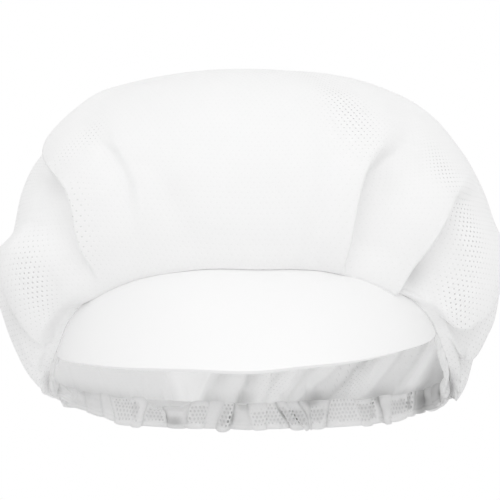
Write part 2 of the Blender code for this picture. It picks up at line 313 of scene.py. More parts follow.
def clothMaterial(name, look):
    material = bpy.data.materials.new(name)
    material.use_nodes = True
    tree = material.node_tree
    nodes, links = tree.nodes, tree.links
    maths = mathsIn(tree)
    shader = nodes["Principled BSDF"]
    shader.inputs["Roughness"].default_value = look["roughness"]
    shader.inputs["Specular IOR Level"].default_value = 0.3
    chart = nodes.new("ShaderNodeUVMap")
    chart.uv_map = "cloth"
    opened = nodes.new("ShaderNodeAttribute")
    opened.attribute_name = "opened"
    knit = nodes.new("ShaderNodeGroup")
    knit.node_tree = knittedHoles
    knit.inputs["Pitch"].default_value = look["pitch"][0]
    knit.inputs["Row Pitch"].default_value = look["pitch"][1]
    knit.inputs["Hole"].default_value = look["hole"]
    links.new(chart.outputs["UV"], knit.inputs["Map"])
    links.new(opened.outputs["Fac"], knit.inputs["Opened"])
    seen = maths("MULTIPLY", maths("SUBTRACT", 1.0, knit.outputs["Thread"]), opened.outputs["Fac"])
    tone = toneNode(tree, 0.035, 0.03, 0.0007)
    # painted shade: the cloth's colour darkens by shade for each layer past one, standing in for shade in
    # folds, corners and pockets; the outside takes at most shadeOutside of them, the inside, seen by its
    # back faces, all
    layersAndShade = nodes.new("ShaderNodeAttribute")
    layersAndShade.attribute_name = "layersAndShade"
    shadeLayers = maths("MAXIMUM", layersAndShade.outputs["Fac"], 0.0)
    if look["shadeOutside"]:
        within = nodes.new("ShaderNodeNewGeometry").outputs["Backfacing"]
        outer = maths("MINIMUM", shadeLayers, look["shadeOutside"])
        shadeLayers = maths("ADD", outer, maths("MULTIPLY", within, maths("SUBTRACT", shadeLayers, outer)))
    shaded = maths("MULTIPLY", tone.outputs["Tone"], maths("MULTIPLY_ADD", shadeLayers, -look["shade"], 1.0))
    # the holes take a painted shadow colour, standing in for the shaded cloth seen through them, and a
    # share of each hole is left truly clear
    colour = nodes.new("ShaderNodeMix")
    colour.data_type = "RGBA"
    links.new(seen, colour.inputs["Factor"])
    links.new(tinted(tree, look["colour"], shaded), colour.inputs["A"])
    colour.inputs["B"].default_value = (*look["holeShadow"], 1)
    links.new(colour.outputs["Result"], shader.inputs["Base Color"])
    raised = maths("MULTIPLY_ADD", opened.outputs["Fac"], 0.8, 0.2)
    knitted = maths("MULTIPLY", knit.outputs["Height"], raised)
    relief = maths("ADD", knitted, maths("MULTIPLY", tone.outputs["Grain"], 0.25))
    bump = nodes.new("ShaderNodeBump")
    bump.inputs["Strength"].default_value = 0.5
    bump.inputs["Distance"].default_value = look["knitDepth"]
    links.new(relief, bump.inputs["Height"])
    links.new(bump.outputs["Normal"], shader.inputs["Normal"])
    glow = nodes.new("ShaderNodeBsdfTranslucent")
    glow.inputs["Color"].default_value = (*look["colour"], 1)
    through = nodes.new("ShaderNodeMixShader")
    passed = maths("MULTIPLY_ADD", layersAndShade.outputs["Fac"], -look["glowLost"], look["glow"])
    links.new(maths("MINIMUM", maths("MAXIMUM", passed, 0.02), 0.92), through.inputs["Fac"])
    links.new(shader.outputs[0], through.inputs[1])
    links.new(glow.outputs[0], through.inputs[2])
    clear = nodes.new("ShaderNodeBsdfTransparent")
    pierced = nodes.new("ShaderNodeMixShader")
    links.new(maths("SUBTRACT", 1.0, maths("MULTIPLY", seen, look["clear"])), pierced.inputs["Fac"])
    links.new(clear.outputs[0], pierced.inputs[1])
    links.new(through.outputs[0], pierced.inputs[2])
    links.new(pierced.outputs[0], nodes["Material Output"].inputs["Surface"])
    return material


peakLook = {
    "length": 0.0676,
    "slope": 40.5,
    "thickness": 0.0022,
    "rounding": 0.0008,
    "bulge": 0.0030,
    "leftEnd": -70.5,
    "rightEnd": 64.0,
    "endTurn": 88.0,
    # turn from the middle in degrees, how full the edge is against a half ellipse
    "fullness": [(-90, 0.30), (-72, 0.54), (-61, 0.77), (-44, 0.94), (-20, 1.03), (20, 1.02), (40, 0.92),
                 (65, 0.70), (90, 0.35)],
    "tuck": 0.0004,                # how far its root is sewn in under the crown
    "across": 120,
    "deep": 28,
    "colour": (0.875, 0.875, 0.875),
    "roughness": 0.5,
    "roughnessSpread": 0.12,
    "grainDepth": 0.00006,
}


def peakMaterial():
    material = bpy.data.materials.new("peakLaminate")
    material.use_nodes = True
    tree = material.node_tree
    maths = mathsIn(tree)
    shader = tree.nodes["Principled BSDF"]
    tone = toneNode(tree, 0.05, 0.02, 0.0009)
    tree.links.new(tinted(tree, peakLook["colour"], tone.outputs["Tone"]), shader.inputs["Base Color"])
    spread = peakLook["roughnessSpread"]
    rough = maths("MULTIPLY_ADD", tone.outputs["Grain"], spread, peakLook["roughness"] - spread / 2)
    tree.links.new(rough, shader.inputs["Roughness"])
    bump = tree.nodes.new("ShaderNodeBump")
    bump.inputs["Strength"].default_value = 0.4
    bump.inputs["Distance"].default_value = peakLook["grainDepth"]
    tree.links.new(tone.outputs["Grain"], bump.inputs["Height"])
    tree.links.new(bump.outputs["Normal"], shader.inputs["Normal"])
    return material


def makePeak():
    # a flat grid swept forward and down from the seam, then given its thickness and a rounded edge
    bpy.ops.object.select_all(action="DESELECT")
    bpy.ops.mesh.primitive_grid_add(x_subdivisions=peakLook["across"], y_subdivisions=peakLook["deep"],
                                    size=2)
    peak = bpy.context.object
    peak.name = "peakSheet"
    slope = math.radians(peakLook["slope"])
    sweep = np.array([0, -math.cos(slope), -math.sin(slope)])
    flat = np.empty(len(peak.data.vertices) * 3)
    peak.data.vertices.foreach_get("co", flat)
    flat = flat.reshape(-1, 3)
    turn = peakLook["endTurn"] * flat[:, 0]
    share = (1 - flat[:, 1]) / 2
    middle = (peakLook["rightEnd"] + peakLook["leftEnd"]) / 2
    angle = middle + np.sin(np.radians(turn)) * (peakLook["rightEnd"] - peakLook["leftEnd"]) / 2
    root, along, out, up = seamFrame(angle)
    root = root + up * peakLook["tuck"] - out * peakLook["tuck"] * 2
    ellipse = np.cos(np.radians(turn))
    length = peakLook["length"] * ellipse * smooth(*zip(*peakLook["fullness"]), turn)
    face = unit(np.cross(sweep, along))
    bulge = peakLook["bulge"] * ellipse**2 * 4 * share * (1 - share)
    points = root + sweep * (length * share)[:, None] + face * bulge[:, None]
    peak.data.vertices.foreach_set("co", points.ravel())
    peak.data.shade_smooth()
    plate = peak.modifiers.new("plate", "SOLIDIFY")
    plate.thickness = peakLook["thickness"]
    plate.offset = -1
    rounding = peak.modifiers.new("edge", "BEVEL")
    rounding.width = peakLook["rounding"]
    rounding.segments = 3
    bpy.ops.object.modifier_apply(modifier="plate")
    bpy.ops.object.modifier_apply(modifier="edge")
    peak.data.materials.append(peakMaterial())
    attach(peak, "root")
    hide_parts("peak")
    return peak


hemLook = {
    "height": 0.0150,
    # angle round from the right end of the peak, share of the height
    "heights": [(60, 0.22), (92, 0.62), (117, 0.75), (138, 1), (180, 1), (222, 1), (236, 0.72), (256, 0.56),
                (292, 0.22)],
    "thickness": 0.0052,
    "rimThickness": 0.0016,
    "endReach": 34,                # degrees over which it swells from its ends
    "rufflePitch": 0.0068,
    "narrowest": 0.7,
    "widest": 1.9,
    "swell": (0.75, 1.1),          # how full each puff is
    "sway": 0.0018,
    "drop": (-0.4, 1.0),           # how far it hangs down, in scallops
    "hang": (0.04, 0.34),          # the level at which its drawn patch begins
    "slitWidth": 0.0011,
    "sideCuts": (0.3, 0.9),        # how deep the chance slits of the sides cut
    "sideLean": 0.3,               # and how far they lean
    # the slits of the nape: angle, how deep it cuts, how far it leans
    "slits": [
        (119, 0.9, 0.3), (123.2, 0.5, 0.2), (131, 0.6, 0.3), (136, 0.97, -0.2), (139.2, 0.5, 0.1),
        (145, 0.7, -0.3), (154.8, 0.85, 0.3), (160.8, 0.6, -0.1), (163.2, 0.97, -0.7), (167.2, 0.7, -0.5),
        (170.8, 0.97, -0.7), (174.8, 0.4, 0.1), (180.4, 0.75, -0.2), (185.0, 1.0, 0.1), (188.8, 0.5, 0.3),
        (193.4, 0.6, 0.2), (199.4, 0.8, 0.1), (207.5, 0.9, -0.3), (214, 0.6, 0.2), (219.4, 0.4, -0.1),
        (228, 0.6, -0.5),
    ],
    # painted shade in dark pockets: angle, level, how wide in degrees, how tall, layers
    "shadePockets": [
        (204.5, 0.72, 4.4, 0.2, 3.0), (185.8, 0.6, 1.0, 0.3, 3.0), (160, 0.1, 2.6, 0.2, 2.6),
        (137, 0.1, 2.6, 0.2, 2.4), (115, 0.5, 4.5, 0.7, 3.6), (103, 0.5, 11, 0.9, 3.6),
        (170.8, 0.45, 0.7, 0.3, 2.0), (167.2, 0.6, 0.6, 0.3, 2.0), (241, 0.3, 4, 0.4, 1.6),
        (182, 0.1, 2.4, 0.2, 1.8),
    ],
    "shadePocketOutside": 0.3,          # share of their painted shade on the casing's outside
    # where its knit is drawn open and its holes show their painted shadow: from one angle to another
    "patches": [(120, 130), (137, 144.2), (145.6, 154.2), (155.6, 160.4), (163.8, 170.2), (171.6, 179.6),
                (185.6, 188.4), (193.8, 199), (209, 213.6), (217, 226.5)],
    "scallop": 0.0014,
    "tuck": 0.0004,
    "clear": 0.0006,               # from the peak's ends
    "step": 0.00046,
    "levels": 17,
    "pitch": (0.0025, 0.00212),
    "hole": 0.00076,
    "glow": 0.42,
    "ragged": 0.16,                # how unevenly a drawn patch ends, as a share of the height
    "rise": (-0.0012, 0.0011),     # how far the casing's top edge stands up inside, piece by piece
    "droop": (199, 214, 0.0040),   # from one angle to another it is pushed down, in metres
    "warp": 0.00055,               # how unevenly the knit is drawn
    "mapStretch": 1.15,            # cloth to a length of the seam, as the knit's map takes it
    "opened": (0.03, 1.0),         # where it is slack and where it is drawn open
    # near-black painted shadow in the holes, standing in for the shaded inner layer of the casing seen
    # through them
    "holeShadow": (0.06, 0.06, 0.06),
    "colour": (0.975, 0.975, 0.975),
    "flat": (0.50, 0.0150),
}


def hemLine():
    # even steps along the seam, from the peak's right end round the back to its left end
    clear = math.degrees(hemLook["clear"] / opening["halfWidth"])
    fine = np.linspace(peakLook["rightEnd"] + clear, peakLook["leftEnd"] + 360 - clear, 4001)
    lengths = np.concatenate([[0], np.cumsum(np.linalg.norm(np.diff(seamPoint(fine), axis=0), axis=1))])
    along = np.linspace(0, lengths[-1], round(lengths[-1] / hemLook["step"]) + 1)
    return np.interp(along, lengths, fine), along


def unevenEdges(total, pitch, narrowest, widest, seed):
    # the ends of uneven widths that fill the whole length
    chance = np.random.default_rng(seed)
    widths = chance.uniform(narrowest, widest, round(2 * total / pitch / (narrowest + widest)))
    return np.concatenate([[0], np.cumsum(widths)]) * total / widths.sum()


def ruffles():
    # the slits of the whole hem: the nape's own and chance ones at the sides, each with its cut and lean
    angles, cuts, leans = np.array(hemLook["slits"], float).T
    at = np.interp(angles, hemAngles, hemAlong)
    size = (hemLook["rufflePitch"], hemLook["narrowest"], hemLook["widest"])
    before = unevenEdges(at[0], *size, 7)[:-1]
    after = at[-1] + unevenEdges(hemAlong[-1] - at[-1], *size, 8)[1:]
    chance = np.random.default_rng(9)
    edges = np.concatenate([before, at, after])
    firstCuts = chance.uniform(*hemLook["sideCuts"], len(before))
    cuts = np.concatenate([firstCuts, cuts, chance.uniform(*hemLook["sideCuts"], len(after))])
    firstLeans = chance.normal(0, hemLook["sideLean"], len(before))
    leans = np.concatenate([firstLeans, leans, chance.normal(0, hemLook["sideLean"], len(after))])
    return edges, cuts, leans


hemAngles, hemAlong = hemLine()
ruffleEdges, ruffleCuts, ruffleLeans = ruffles()


def makeHem():
    # a casing gathered over elastic: uneven puffs, parted by slits that lean this way and that
    chance = np.random.default_rng(11)
    count = len(ruffleEdges)
    swell = chance.uniform(*hemLook["swell"], count)
    sway = chance.normal(0, hemLook["sway"], count)
    drop = chance.uniform(*hemLook["drop"], count)
    hang = chance.uniform(*hemLook["hang"], count)
    rise = chance.uniform(*hemLook["rise"], count)
    droopFrom, droopTo, droop = hemLook["droop"]
    pushed = droop * ease(droopFrom - 2, droopFrom + 3, hemAngles)
    pushed *= 1 - ease(droopTo - 3, droopTo + 2, hemAngles)
    height = hemLook["height"] * smooth(*zip(*hemLook["heights"]), hemAngles)
    root, _, out, up = seamFrame(hemAngles)
    fromEnd = np.minimum(hemAngles - hemAngles[0], hemAngles[-1] - hemAngles)
    ends = 0.12 + 0.88 * ease(6, hemLook["endReach"], fromEnd)
    ups = np.linspace(0, 1, hemLook["levels"])
    levels = np.concatenate([ups, ups[::-1]])
    sides = np.concatenate([np.ones(len(ups)), -np.ones(len(ups))])
    sections, opened, layersAndShade = [], [], []
    slack, drawn = hemLook["opened"]
    rim, puffed = hemLook["rimThickness"], hemLook["thickness"]
    for level, side in zip(levels, sides):
        at = hemAlong - (level - 0.3) * height * np.interp(hemAlong, ruffleEdges, ruffleLeans)
        i = np.clip(np.searchsorted(ruffleEdges, at, side="right") - 1, 0, count - 2)
        u = np.clip((at - ruffleEdges[i]) / (ruffleEdges[i + 1] - ruffleEdges[i]), 0, 1)
        width = ruffleEdges[i + 1] - ruffleEdges[i]
        cut = np.maximum(ruffleCuts[i] * np.exp(-u * width / hemLook["slitWidth"]),
                         ruffleCuts[i + 1] * np.exp(-(1 - u) * width / hemLook["slitWidth"]))
        cut = cut * (1 - 0.55 * ease(0.62, 0.9, level))
        dome = np.sqrt(np.sin(math.pi * u))
        full = ease(-0.05, 0.35, level) * (1 - 0.75 * ease(0.72, 1.0, level))
        half = rim + (puffed - rim) * full * swell[i] * ends
        half = half / 2 * (0.55 + 0.45 * dome) * (1 - cut)
        swing = (sway[i] * dome + 0.4 * sway[i] * (1 - dome)) * ease(0, 0.6, level)
        down = level * height - hemLook["tuck"]
        down += ease(0.3, 1, level) * hemLook["scallop"] * (dome * drop[i] - cut)
        down += (pushed - rise[i] * dome * ease(20, 40, fromEnd)) * (1 - ease(0.0, 0.45, level))
        inset = hemLook["tuck"] + hemLook["thickness"] * ends / 2 - side * half - swing * ends
        sections.append(root - up * down[:, None] - out * inset[:, None])
        turn = np.interp(at, hemAlong, hemAngles)
        patch = sum(ease(low - 0.4, low + 0.4, turn) * (1 - ease(high - 0.4, high + 0.4, turn))
                    for low, high in hemLook["patches"])
        uneven = level + hemLook["ragged"] * ripple(sections[-1], 0.0045, 14).ravel()
        patch = patch * ease(hang[i] - 0.08, hang[i] + 0.08, uneven) * (1 - ease(0.70, 0.84, uneven))
        opened.append(slack + (drawn - slack) * patch)
        # painted shade in the casing's colour: a dark line above the folded rim and the rim itself, a
        # shadow along the top edge, the pockets and the slits; the drawn patches take some away and let
        # more light through
        rimLayersAndShade = 0.8 * hump(level - 0.82, 0.05) + 0.7 * ease(0.86, 1, level)
        topShadow = 0.7 * (1 - ease(0, 0.3, level))
        pocketShade = sum(shadeLayers * hump(turn - seam, wide) * hump(level - deep, tall)
                     for seam, deep, wide, tall, shadeLayers in hemLook["shadePockets"])
        pocketShade = pocketShade if side < 0 else pocketShade * hemLook["shadePocketOutside"]
        layersAndShade.append(2.2 * cut * cut + pocketShade + rimLayersAndShade + topShadow - 2.4 * patch * (1 - cut))
    points = np.stack(sections)
    points += (ripple(points, 0.0045, 5, 12) * 0.0002)[..., None] * out
    rows, steps = points.shape[:2]
    quads = []
    for row in range(rows):
        below = (row + 1) % rows
        for column in range(steps - 1):
            quads.append((row * steps + column, below * steps + column,
                          below * steps + column + 1, row * steps + column + 1))
    quads.append([row * steps for row in range(rows)][::-1])
    quads.append([row * steps + steps - 1 for row in range(rows)])
    look = dict(clothLook, pitch=hemLook["pitch"], hole=hemLook["hole"], clear=0.1, glow=hemLook["glow"],
                shadeOutside=None, colour=hemLook["colour"], holeShadow=hemLook["holeShadow"])
    cloth = clothMaterial("hemMesh", look)
    hem = pieceFrom("hemRuffle", points.reshape(-1, 3), quads, "elastic_hem", cloth)
    corners = cornerPoints(hem)
    warp = hemLook["warp"]
    u = np.tile(hemAlong * hemLook["mapStretch"], rows) + warp * ripple(points, 0.009, 12).ravel()
    v = np.repeat(levels, steps) * np.tile(height, rows) + warp * ripple(points, 0.008, 13).ravel()
    giveMap(hem, np.stack([u[corners], v[corners]], axis=-1))
    giveValues(hem, "opened", np.stack(opened))
    giveValues(hem, "layersAndShade", np.stack(layersAndShade))
    return hem


crownLook = {
    "foldDepth": 0.012,
    "foldWidth": 0.020,
    "pathCourses": (0, 2.5, 5, 7.5, 12),
    # name, the angle of its path at five heights, ridge and recess in fold depths, their widths in fold
    # widths, 1 or -1 for the side of the ridge, the courses where it begins, starts to fade and ends, half
    # turn and lip in metres
    "folds": [
        ("left lobe", -69.5, -68.5, -75, -100, -130, 0.30, 0.25, 0.8, 0.5, 1, 0.8, 3.2, 5.2, 0.003, 0.003),
        ("left panel", -41, -41, -41.8, -58.5, -85, 0.20, 0.75, 1.0, 1.4, 1, 2.2, 7.6, 9.9, 0.0030, 0.0040),
        ("left crease", -27, -25.5, -26, -36.5, -58, 0.06, 0.16, 0.5, 0.35, 1, 3.2, 6.2, 8.6, 0.003, 0.0),
        ("left soft", -12, -12, -17, -26, -40, 0.06, 0.08, 0.7, 0.5, 1, 2.5, 5.0, 7.0, 0.006, 0.0),
        ("right pleat", 16, 13, 14, 18, 30, 0.05, 0.10, 0.6, 0.3, 1, 0.4, 5.0, 8.0, 0.004, 0.0),
        ("right panel", 27, 22.5, 24.7, 38.0, 62, 0.25, 0.90, 0.9, 1.7, 1, 1.0, 3.4, 9.6, 0.0030, 0.0042),
        ("right billow", 42, 42, 51.3, 71.5, 95, 0.42, 1.05, 0.9, 1.0, 1, 0.7, 3.2, 7.8, 0.0035, 0.0045),
        ("right lobe", 56, 68.5, 82, 95, 115, 0.30, 0.65, 0.8, 0.7, 1, 0.8, 4.4, 6.5, 0.003, 0.0035),
        ("right under lobe", 64, 82, 100, 110, 130, 0.20, 0.40, 0.7, 0.6, 1, 0.8, 3.2, 5.0, 0.004, 0.003),
    ],
    # the left shoulder, a fold that lies across: its course at each angle, the angles between which it
    # begins and ends, and its sizes in metres
    "shelf": [(-140, 5.8), (-105, 5.75), (-85, 5.5), (-65, 4.75), (-58, 4.1), (-50, 3.55), (-43, 3.1),
              (-40, 3.0)],
    "shelfSpan": (-42, -52, -112, -140),
    "shelfRidge": (0.0034, 0.024),
    "shelfRecess": (0.0046, 0.026),
    "shelfHalf": 0.0075,
    "perCourse": 0.014,
    # name and path of the other lines that the columns of cloth follow
    "guides": [
        ("back left", -180, -180, -180, -180, -180),
        ("nape left", -135, -137, -142, -146, -158),
        ("side left", -92, -98, -108, -120, -144),
        ("front", 0, 0, 0, 0, 0),
        ("side right", 92, 98, 113, 124, 144),
        ("nape right", 135, 137, 144, 149, 158),
        ("back right", 180, 180, 180, 180, 180),
    ],
    # pleats of the nape that turn inwards: angle at the first course seen, degrees it leans in a course,
    # depth, width and half turn in metres, last course, and how much its cloth doubles up, painted as shade
    # on one side of its edge and as more light passing through on the other
    "pleats": [
        (164.5, -9.8, 0.0095, 0.0150, 0.0028, 4.6, 0.9),
        (142.5, -6.0, 0.0090, 0.0150, 0.0032, 4.8, 0.35),
        (170.5, -4.8, 0.0045, 0.0065, 0.0026, 4.0, 1.1),
        (177.0, -3.5, 0.0035, 0.0060, 0.0026, 3.8, 0.9),
        (184.5, -3.2, 0.0038, 0.0065, 0.0028, 3.9, 0.9),
        (196.0, -5.3, 0.0070, 0.0120, 0.0045, 4.2, 1.1),
        (126.0, -2.0, 0.0050, 0.0090, 0.0040, 3.6, 0.9),
    ],
    # painted shade where its colour is darkened in corners, recesses and folds, and more light passing
    # through where it is stretched thin: angle, course, how wide, how tall, layers
    "gathered": [
        (198, 2.5, 6.5, 0.9, -2.2), (198, 1.5, 2.8, 0.8, -2.6), (106, 1.5, 12, 1.1, 4.2),
        (120, 1.4, 8, 0.4, 1.4), (117, 2.4, 5, 0.9, 1.0), (159.5, 1.35, 3.0, 0.32, 2.0),
        (133, 1.45, 8.0, 0.35, 1.7), (240, 1.5, 11, 0.4, 1.0), (247, 1.4, 3, 0.4, 1.2),
        (220, 1.3, 7, 0.35, 0.8), (182, 1.5, 4, 0.3, 0.9), (190, 1.4, 3, 0.3, 0.9),
        (26, 4.1, 4.5, 1.2, 0.4), (32, 5.4, 5, 1.4, 0.8), (46.5, 1.9, 3.8, 0.9, 1.5),
        (56, 3.6, 5, 1.0, 0.8), (75, 1.4, 9, 0.9, 1.3), (85, 2.6, 9, 0.7, 0.4),
        (-72, 3.1, 8, 0.9, 1.0), (-92, 3.1, 10, 0.9, 1.0),
        (-53, 6.6, 6, 1.1, 0.5), (-53, 2.6, 5, 0.6, 0.4), (-44.5, 4.8, 2.5, 1.2, -0.5),
    ],
    "pleatCourse": 1.2,
    # angle, course, how wide in degrees and in courses, how far out and how far down in metres
    "puffs": [
        (206, 1.5, 5.5, 0.8, -0.0125, 0.0065),
        (116, 1.4, 8, 0.9, 0.0060, -0.0010),
        (41, 1.0, 5, 0.7, 0.0016, 0.0008),
        (-71, 1.3, 3.5, 0.6, 0.0016, 0.0),
        (-63, 1.5, 2.5, 0.5, 0.0012, 0.0),
        (66, 1.2, 3, 0.6, 0.0016, 0.0),
        (60, 1.4, 2.5, 0.5, 0.0012, 0.0),
        (90, 2.7, 14, 1.1, -0.0034, 0.0),
        (92, 1.2, 12, 0.6, -0.0020, 0.0),
        (-94, 1.5, 13, 0.7, -0.0028, 0.0),
        (27, 9.6, 9, 0.9, -0.0022, 0.0),
        (-57, 9.3, 6, 0.5, 0.0018, 0.0),
        (-47, 8.4, 6, 0.7, -0.0012, 0.0),
    ],
    # where it sags over the hem: angle, width in degrees, depth in fold depths
    "sags": [(88, 11, 0.40), (278, 9, 0.30), (208, 8, 0.25), (150, 18, 0.08)],
    # how much painted shade, counted as more layers of gathered cloth, lies at the foot of the nape
    "footShadeLayers": 0.5,
    # where it is sewn on flat beside the ends of the peak: angles from the front, and courses
    "flush": (42, 58, 74, 92),
    "flushCourses": (0.4, 2.4),
    # width of its puffs, their depth, the courses between which they grow and then die, and the angles
    # between which they begin
    "gathers": [
        (0.0068, 0.0022, 0.1, 1.0, 1.2, 2.4, 64, 82),
        (0.0170, 0.0026, 0.4, 1.4, 1.8, 3.8, 62, 80),
        (0.0400, 0.0050, 1.5, 3.4, 4.2, 8.5, 96, 128),
    ],
    "gatherWidths": (0.6, 1.5),
    "gatherHeights": (0.35, 1.0),
    "roll": (0.0010, 0.0007),      # out and down over the peak's seam
    "ripples": [(0.060, 0.0010), (0.024, 0.0004)],
    # where the knit is drawn open and its holes show their painted shadow: angle, course, how wide in
    # degrees and in courses, how far
    "drawn": [
        (25, 7.9, 5, 1.5, 0.75), (50, 6.35, 4, 0.9, 0.7), (60, 4.6, 4.5, 1.6, 0.9), (60, 2.3, 5, 0.7, 0.8),
        (-59, 2.9, 4.5, 1.1, 0.8), (-40.5, 7.3, 3, 0.5, 0.4), (-45, 6.7, 3, 0.5, 0.3),
        (-38.5, 3.9, 2.5, 1.3, 0.3), (150, 2.0, 5, 0.7, 0.4), (173, 1.9, 4, 0.5, 0.3),
    ],
    "drawnFront": 0.05,
    "drawnSides": 0.34,
    "columns": 540,
    "rowsPerCourse": (18, 20, 20, 17, 15, 14, 13, 12, 12, 12, 12, 14),
    "sectorEdges": (-137, -41, 27, 137),
    "sectorMiddles": (180, -92, -5, 84),
    "flat": (0.50, 0.48),
    "area": 0.185,
}


def pathAngle(path, course):
    return smooth(crownLook["pathCourses"], path[1:6], course)


def clothColumns():
    # the seam angle of each column, closer together beside the folds
    fine = np.linspace(-180, 180, 7201)
    density = 1 + 0.5 * ease(110, 135, np.abs(fine))
    for fold in crownLook["folds"]:
        density += 2.2 * hump(fine - fold[1], 2.0)
    total = np.concatenate([[0], np.cumsum(density[:-1])])
    return np.interp(np.arange(crownLook["columns"]) / crownLook["columns"] * total[-1], total, fine)


def clothGrid():
    columns = clothColumns()
    courses = np.concatenate([np.linspace(i, i + 1, count, endpoint=False)
                              for i, count in enumerate(crownLook["rowsPerCourse"])])
    paths = sorted(crownLook["folds"] + crownLook["guides"], key=lambda path: path[1])
    seams = [path[1] for path in paths]
    angles = np.stack([np.interp(columns, seams, [float(pathAngle(path, course)) for path in paths])
                       for course in courses])
    return columns, angles, np.repeat(courses[:, None], len(columns), axis=1)


def overlap(away, half, ridge, recess, ridgeWidth, recessWidth):
    # the height of a ridge that turns down over a recess, at a distance past the turn
    over = ease(-half, half, away)
    return (ridge * hump(np.minimum(away + half, 0), ridgeWidth) * (1 - over)
            - recess * hump(np.maximum(away - half, 0), recessWidth) * over)


def lean(away, half):
    # how far the ridge's edge leans over the recess, as a share of the lip
    return -(away / half) * np.exp(0.5 - 0.5 * (away / half) ** 2)


def pleatAway(pleat, angles, courses, reach):
    # the distance past a pleat's turn, and how far the pleat has formed
    above = courses - crownLook["pleatCourse"]
    path = pleat[0] + pleat[1] * np.where(above > 0, above, above / 3)
    formed = ease(0.1, 1.3, courses) * (1 - ease(pleat[5] - 1.8, pleat[5], courses))
    return -np.radians(turned(angles - path)) * reach, formed


def crownPoints(angles, courses):
    base = bagPoint(angles, courses)
    fromFront = np.abs(turned(angles))
    begin, begun, end, ended = crownLook["flush"]
    straight, bent = crownLook["flushCourses"]
    flush = ease(begin, begun, fromFront) * (1 - ease(end, ended, fromFront))
    flush = flush * (1 - ease(straight, bent, courses))
    chord = bagPoint(angles, 0 * courses)
    chord = chord + (bagPoint(angles, 0 * courses + bent) - chord) * (courses / bent)[..., None]
    base += (chord - base) * flush[..., None]
    normal = bagNormal(angles, courses)
    along = unit(bagPoint(angles + 0.5, courses) - bagPoint(angles - 0.5, courses))
    reach = np.hypot(base[..., 0], base[..., 1])
    out = np.zeros_like(reach)
    sideways = np.zeros_like(reach)
    down = np.zeros_like(reach)
    depth, width = crownLook["foldDepth"], crownLook["foldWidth"]
    for fold in crownLook["folds"]:
        ridge, recess, ridgeWidth, recessWidth, outward, first, fade, last, half, lip = fold[6:]
        fading = ease(fade, last, courses)
        span = ease(first - 0.8, first + 1.6, courses) * (1 - fading)
        half = half * (1 + 2.5 * fading)
        recessWidth = recessWidth * (1 + 0.5 * fading)
        way = outward * (-1 if fold[1] < 0 else 1)
        away = way * np.radians(angles - pathAngle(fold, courses)) * reach
        out += depth * span * overlap(away, half, ridge, recess, ridgeWidth * width, recessWidth * width)
        sideways += way * lip * span * lean(away, half) * (1 - ease(0.1, 0.7, fading))
    shelf = smooth(*zip(*crownLook["shelf"]), turned(angles))
    begin, begun, end, ended = crownLook["shelfSpan"]
    span = ease(-begin, -begun, -turned(angles)) * (1 - ease(-end, -ended, -turned(angles)))
    ridge, recess = crownLook["shelfRidge"], crownLook["shelfRecess"]
    away = (courses - shelf) * crownLook["perCourse"]
    out += span * overlap(away, crownLook["shelfHalf"], ridge[0], recess[0], ridge[1], recess[1])
    for pleat in crownLook["pleats"]:
        deep, wide, half = pleat[2:5]
        away, span = pleatAway(pleat, angles, courses, reach)
        out -= deep * span * overlap(away, half, 0.6, 0.6, wide, wide * 0.7)
        sideways -= half * 0.4 * span * lean(away, half)
    for seam, course, wide, tall, outward, fall in crownLook["puffs"]:
        near = hump(turned(angles - seam), wide) * hump(courses - course, tall) * ease(0, 0.4, courses)
        out += outward * near
        down += fall * near
    for index, (pitch, deep, grow, grown, fade, gone, begin, begun) in enumerate(crownLook["gathers"]):
        widths = crownLook["gatherWidths"]
        edges = ruffleEdges if index == 0 else unevenEdges(hemAlong[-1], pitch, *widths, 20 + index)
        high = np.random.default_rng(30 + index).uniform(*crownLook["gatherHeights"], len(edges))
        at = np.interp(angles % 360, hemAngles, hemAlong)
        i = np.clip(np.searchsorted(edges, at, side="right") - 1, 0, len(edges) - 2)
        u = np.clip((at - edges[i]) / (edges[i + 1] - edges[i]), 0, 1)
        amount = ease(grow, grown, courses) * (1 - ease(fade, gone, courses))
        amount = amount * ease(begin, begun, fromFront)
        out += deep * amount * (high[i] * np.sqrt(np.sin(math.pi * u)) - 0.6)
    restless = ease(0.3, 2.0, courses) * (0.45 + 0.55 * ease(30, 60, fromFront))
    for index, (size, deep) in enumerate(crownLook["ripples"]):
        out += deep * ripple(base, size, 40 + index) * restless
    nearFoot = ease(0, 1, courses) * (1 - ease(1, 3.6, courses))
    for seam, wide, sag in crownLook["sags"]:
        down += sag * depth * hump(turned(angles - seam), wide) * nearFoot
    roll = ease(0, 0.4, courses) * (1 - ease(1.0, 2.4, courses)) * (1 - ease(50, 64, fromFront))
    roll = roll * (1 + 0.5 * ripple(base, 0.05, 50))
    out += crownLook["roll"][0] * roll
    down += crownLook["roll"][1] * roll
    points = base + normal * out[..., None] + along * sideways[..., None]
    points[..., 2] -= down
    return points


def drawnOpen(angles, courses):
    fromFront = np.abs(turned(angles))
    front, sides = crownLook["drawnFront"], crownLook["drawnSides"]
    nape = ease(96, 120, fromFront) * (1 - ease(2.2, 4.2, courses))
    away = np.maximum(ease(58, 90, fromFront), ease(9.0, 11.0, courses))
    opened = front + (sides - front) * away * (1 - nape)
    for seam, course, wide, tall, amount in crownLook["drawn"]:
        near = hump(turned(angles - seam), wide) * hump(courses - course, tall)
        opened = opened + (1 - opened) * amount * near
    return opened


